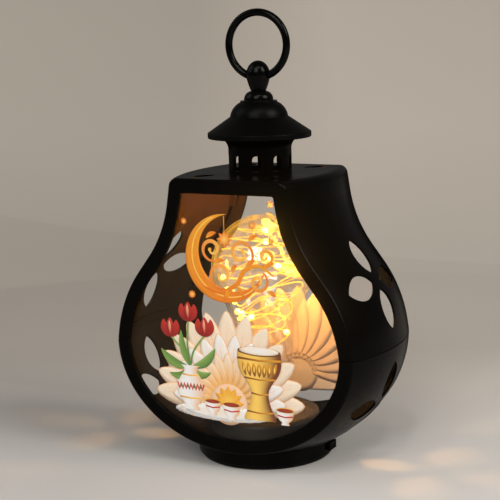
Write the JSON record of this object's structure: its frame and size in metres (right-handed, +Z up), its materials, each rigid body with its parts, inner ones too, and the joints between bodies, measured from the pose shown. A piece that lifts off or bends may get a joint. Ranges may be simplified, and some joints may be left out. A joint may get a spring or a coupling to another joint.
{
  "type": "ramadan fanous lantern",
  "caption": "Pear-shaped battery lantern with clear printed panels, pierced side bands, a slotted chimney, a stepped roof, a carrying ring and a lit bulb inside.",
  "frame": {"origin": "centre of the foot's underside", "axes": "+Z up towards the carrying ring, -Y out of the front panel, +X to the right seen from the front"},
  "size_m": [0.1642, 0.0862, 0.2566],
  "materials": {
    "black_plastic": "satin moulded black",
    "clear_sheet": "clear gloss sheet with a print",
    "clear_bulb": "clear gloss",
    "copper_wire": "bare fine wire",
    "warm_light": "clear glowing bead",
    "steel": "plated",
    "cell_jacket": "satin wrapped",
    "board": "coated board",
    "lead_jacket": "insulated"
  },
  "bodies": {
    "lantern": {"upper_shell": "black_plastic", "lower_shell": "black_plastic", "front_panel": "clear_sheet", "back_panel": "clear_sheet", "chimney": "black_plastic", "roof": "black_plastic", "finial": "black_plastic", "finial_screw": "steel", "deck": "black_plastic", "lamp_socket": "black_plastic", "bulb": "clear_bulb", "light_wire": "copper_wire", "led_beads": "warm_light", "lamp_leads": "lead_jacket", "circuit_board": "board", "base_plate": "black_plastic", "base_screws": "steel", "battery_holder": "black_plastic", "battery_front": "cell_jacket", "battery_middle": "cell_jacket", "battery_rear": "cell_jacket", "battery_contacts": "steel", "switch_body": "black_plastic"},
    "ring": {"ring_handle": "black_plastic"},
    "slider": {"switch_knob": "black_plastic"},
    "door": {"battery_door": "black_plastic", "door_screw": "steel"}
  },
  "joints": [
    {"name": "ring_swing", "type": "hinge", "parent": "lantern", "child": "ring", "pos_m": [0, 0, 0.2197], "axis": [1, 0, 0], "range_deg": [-125, 125]},
    {"name": "switch_slide", "type": "slide", "parent": "lantern", "child": "slider", "axis": [0, -1, 0], "range_m": [0, 0.004]},
    {"name": "door_swing", "type": "hinge", "parent": "lantern", "child": "door", "pos_m": [0.02175, 0, 0.002], "axis": [0, -1, 0], "range_deg": [0, 90]}
  ]
}
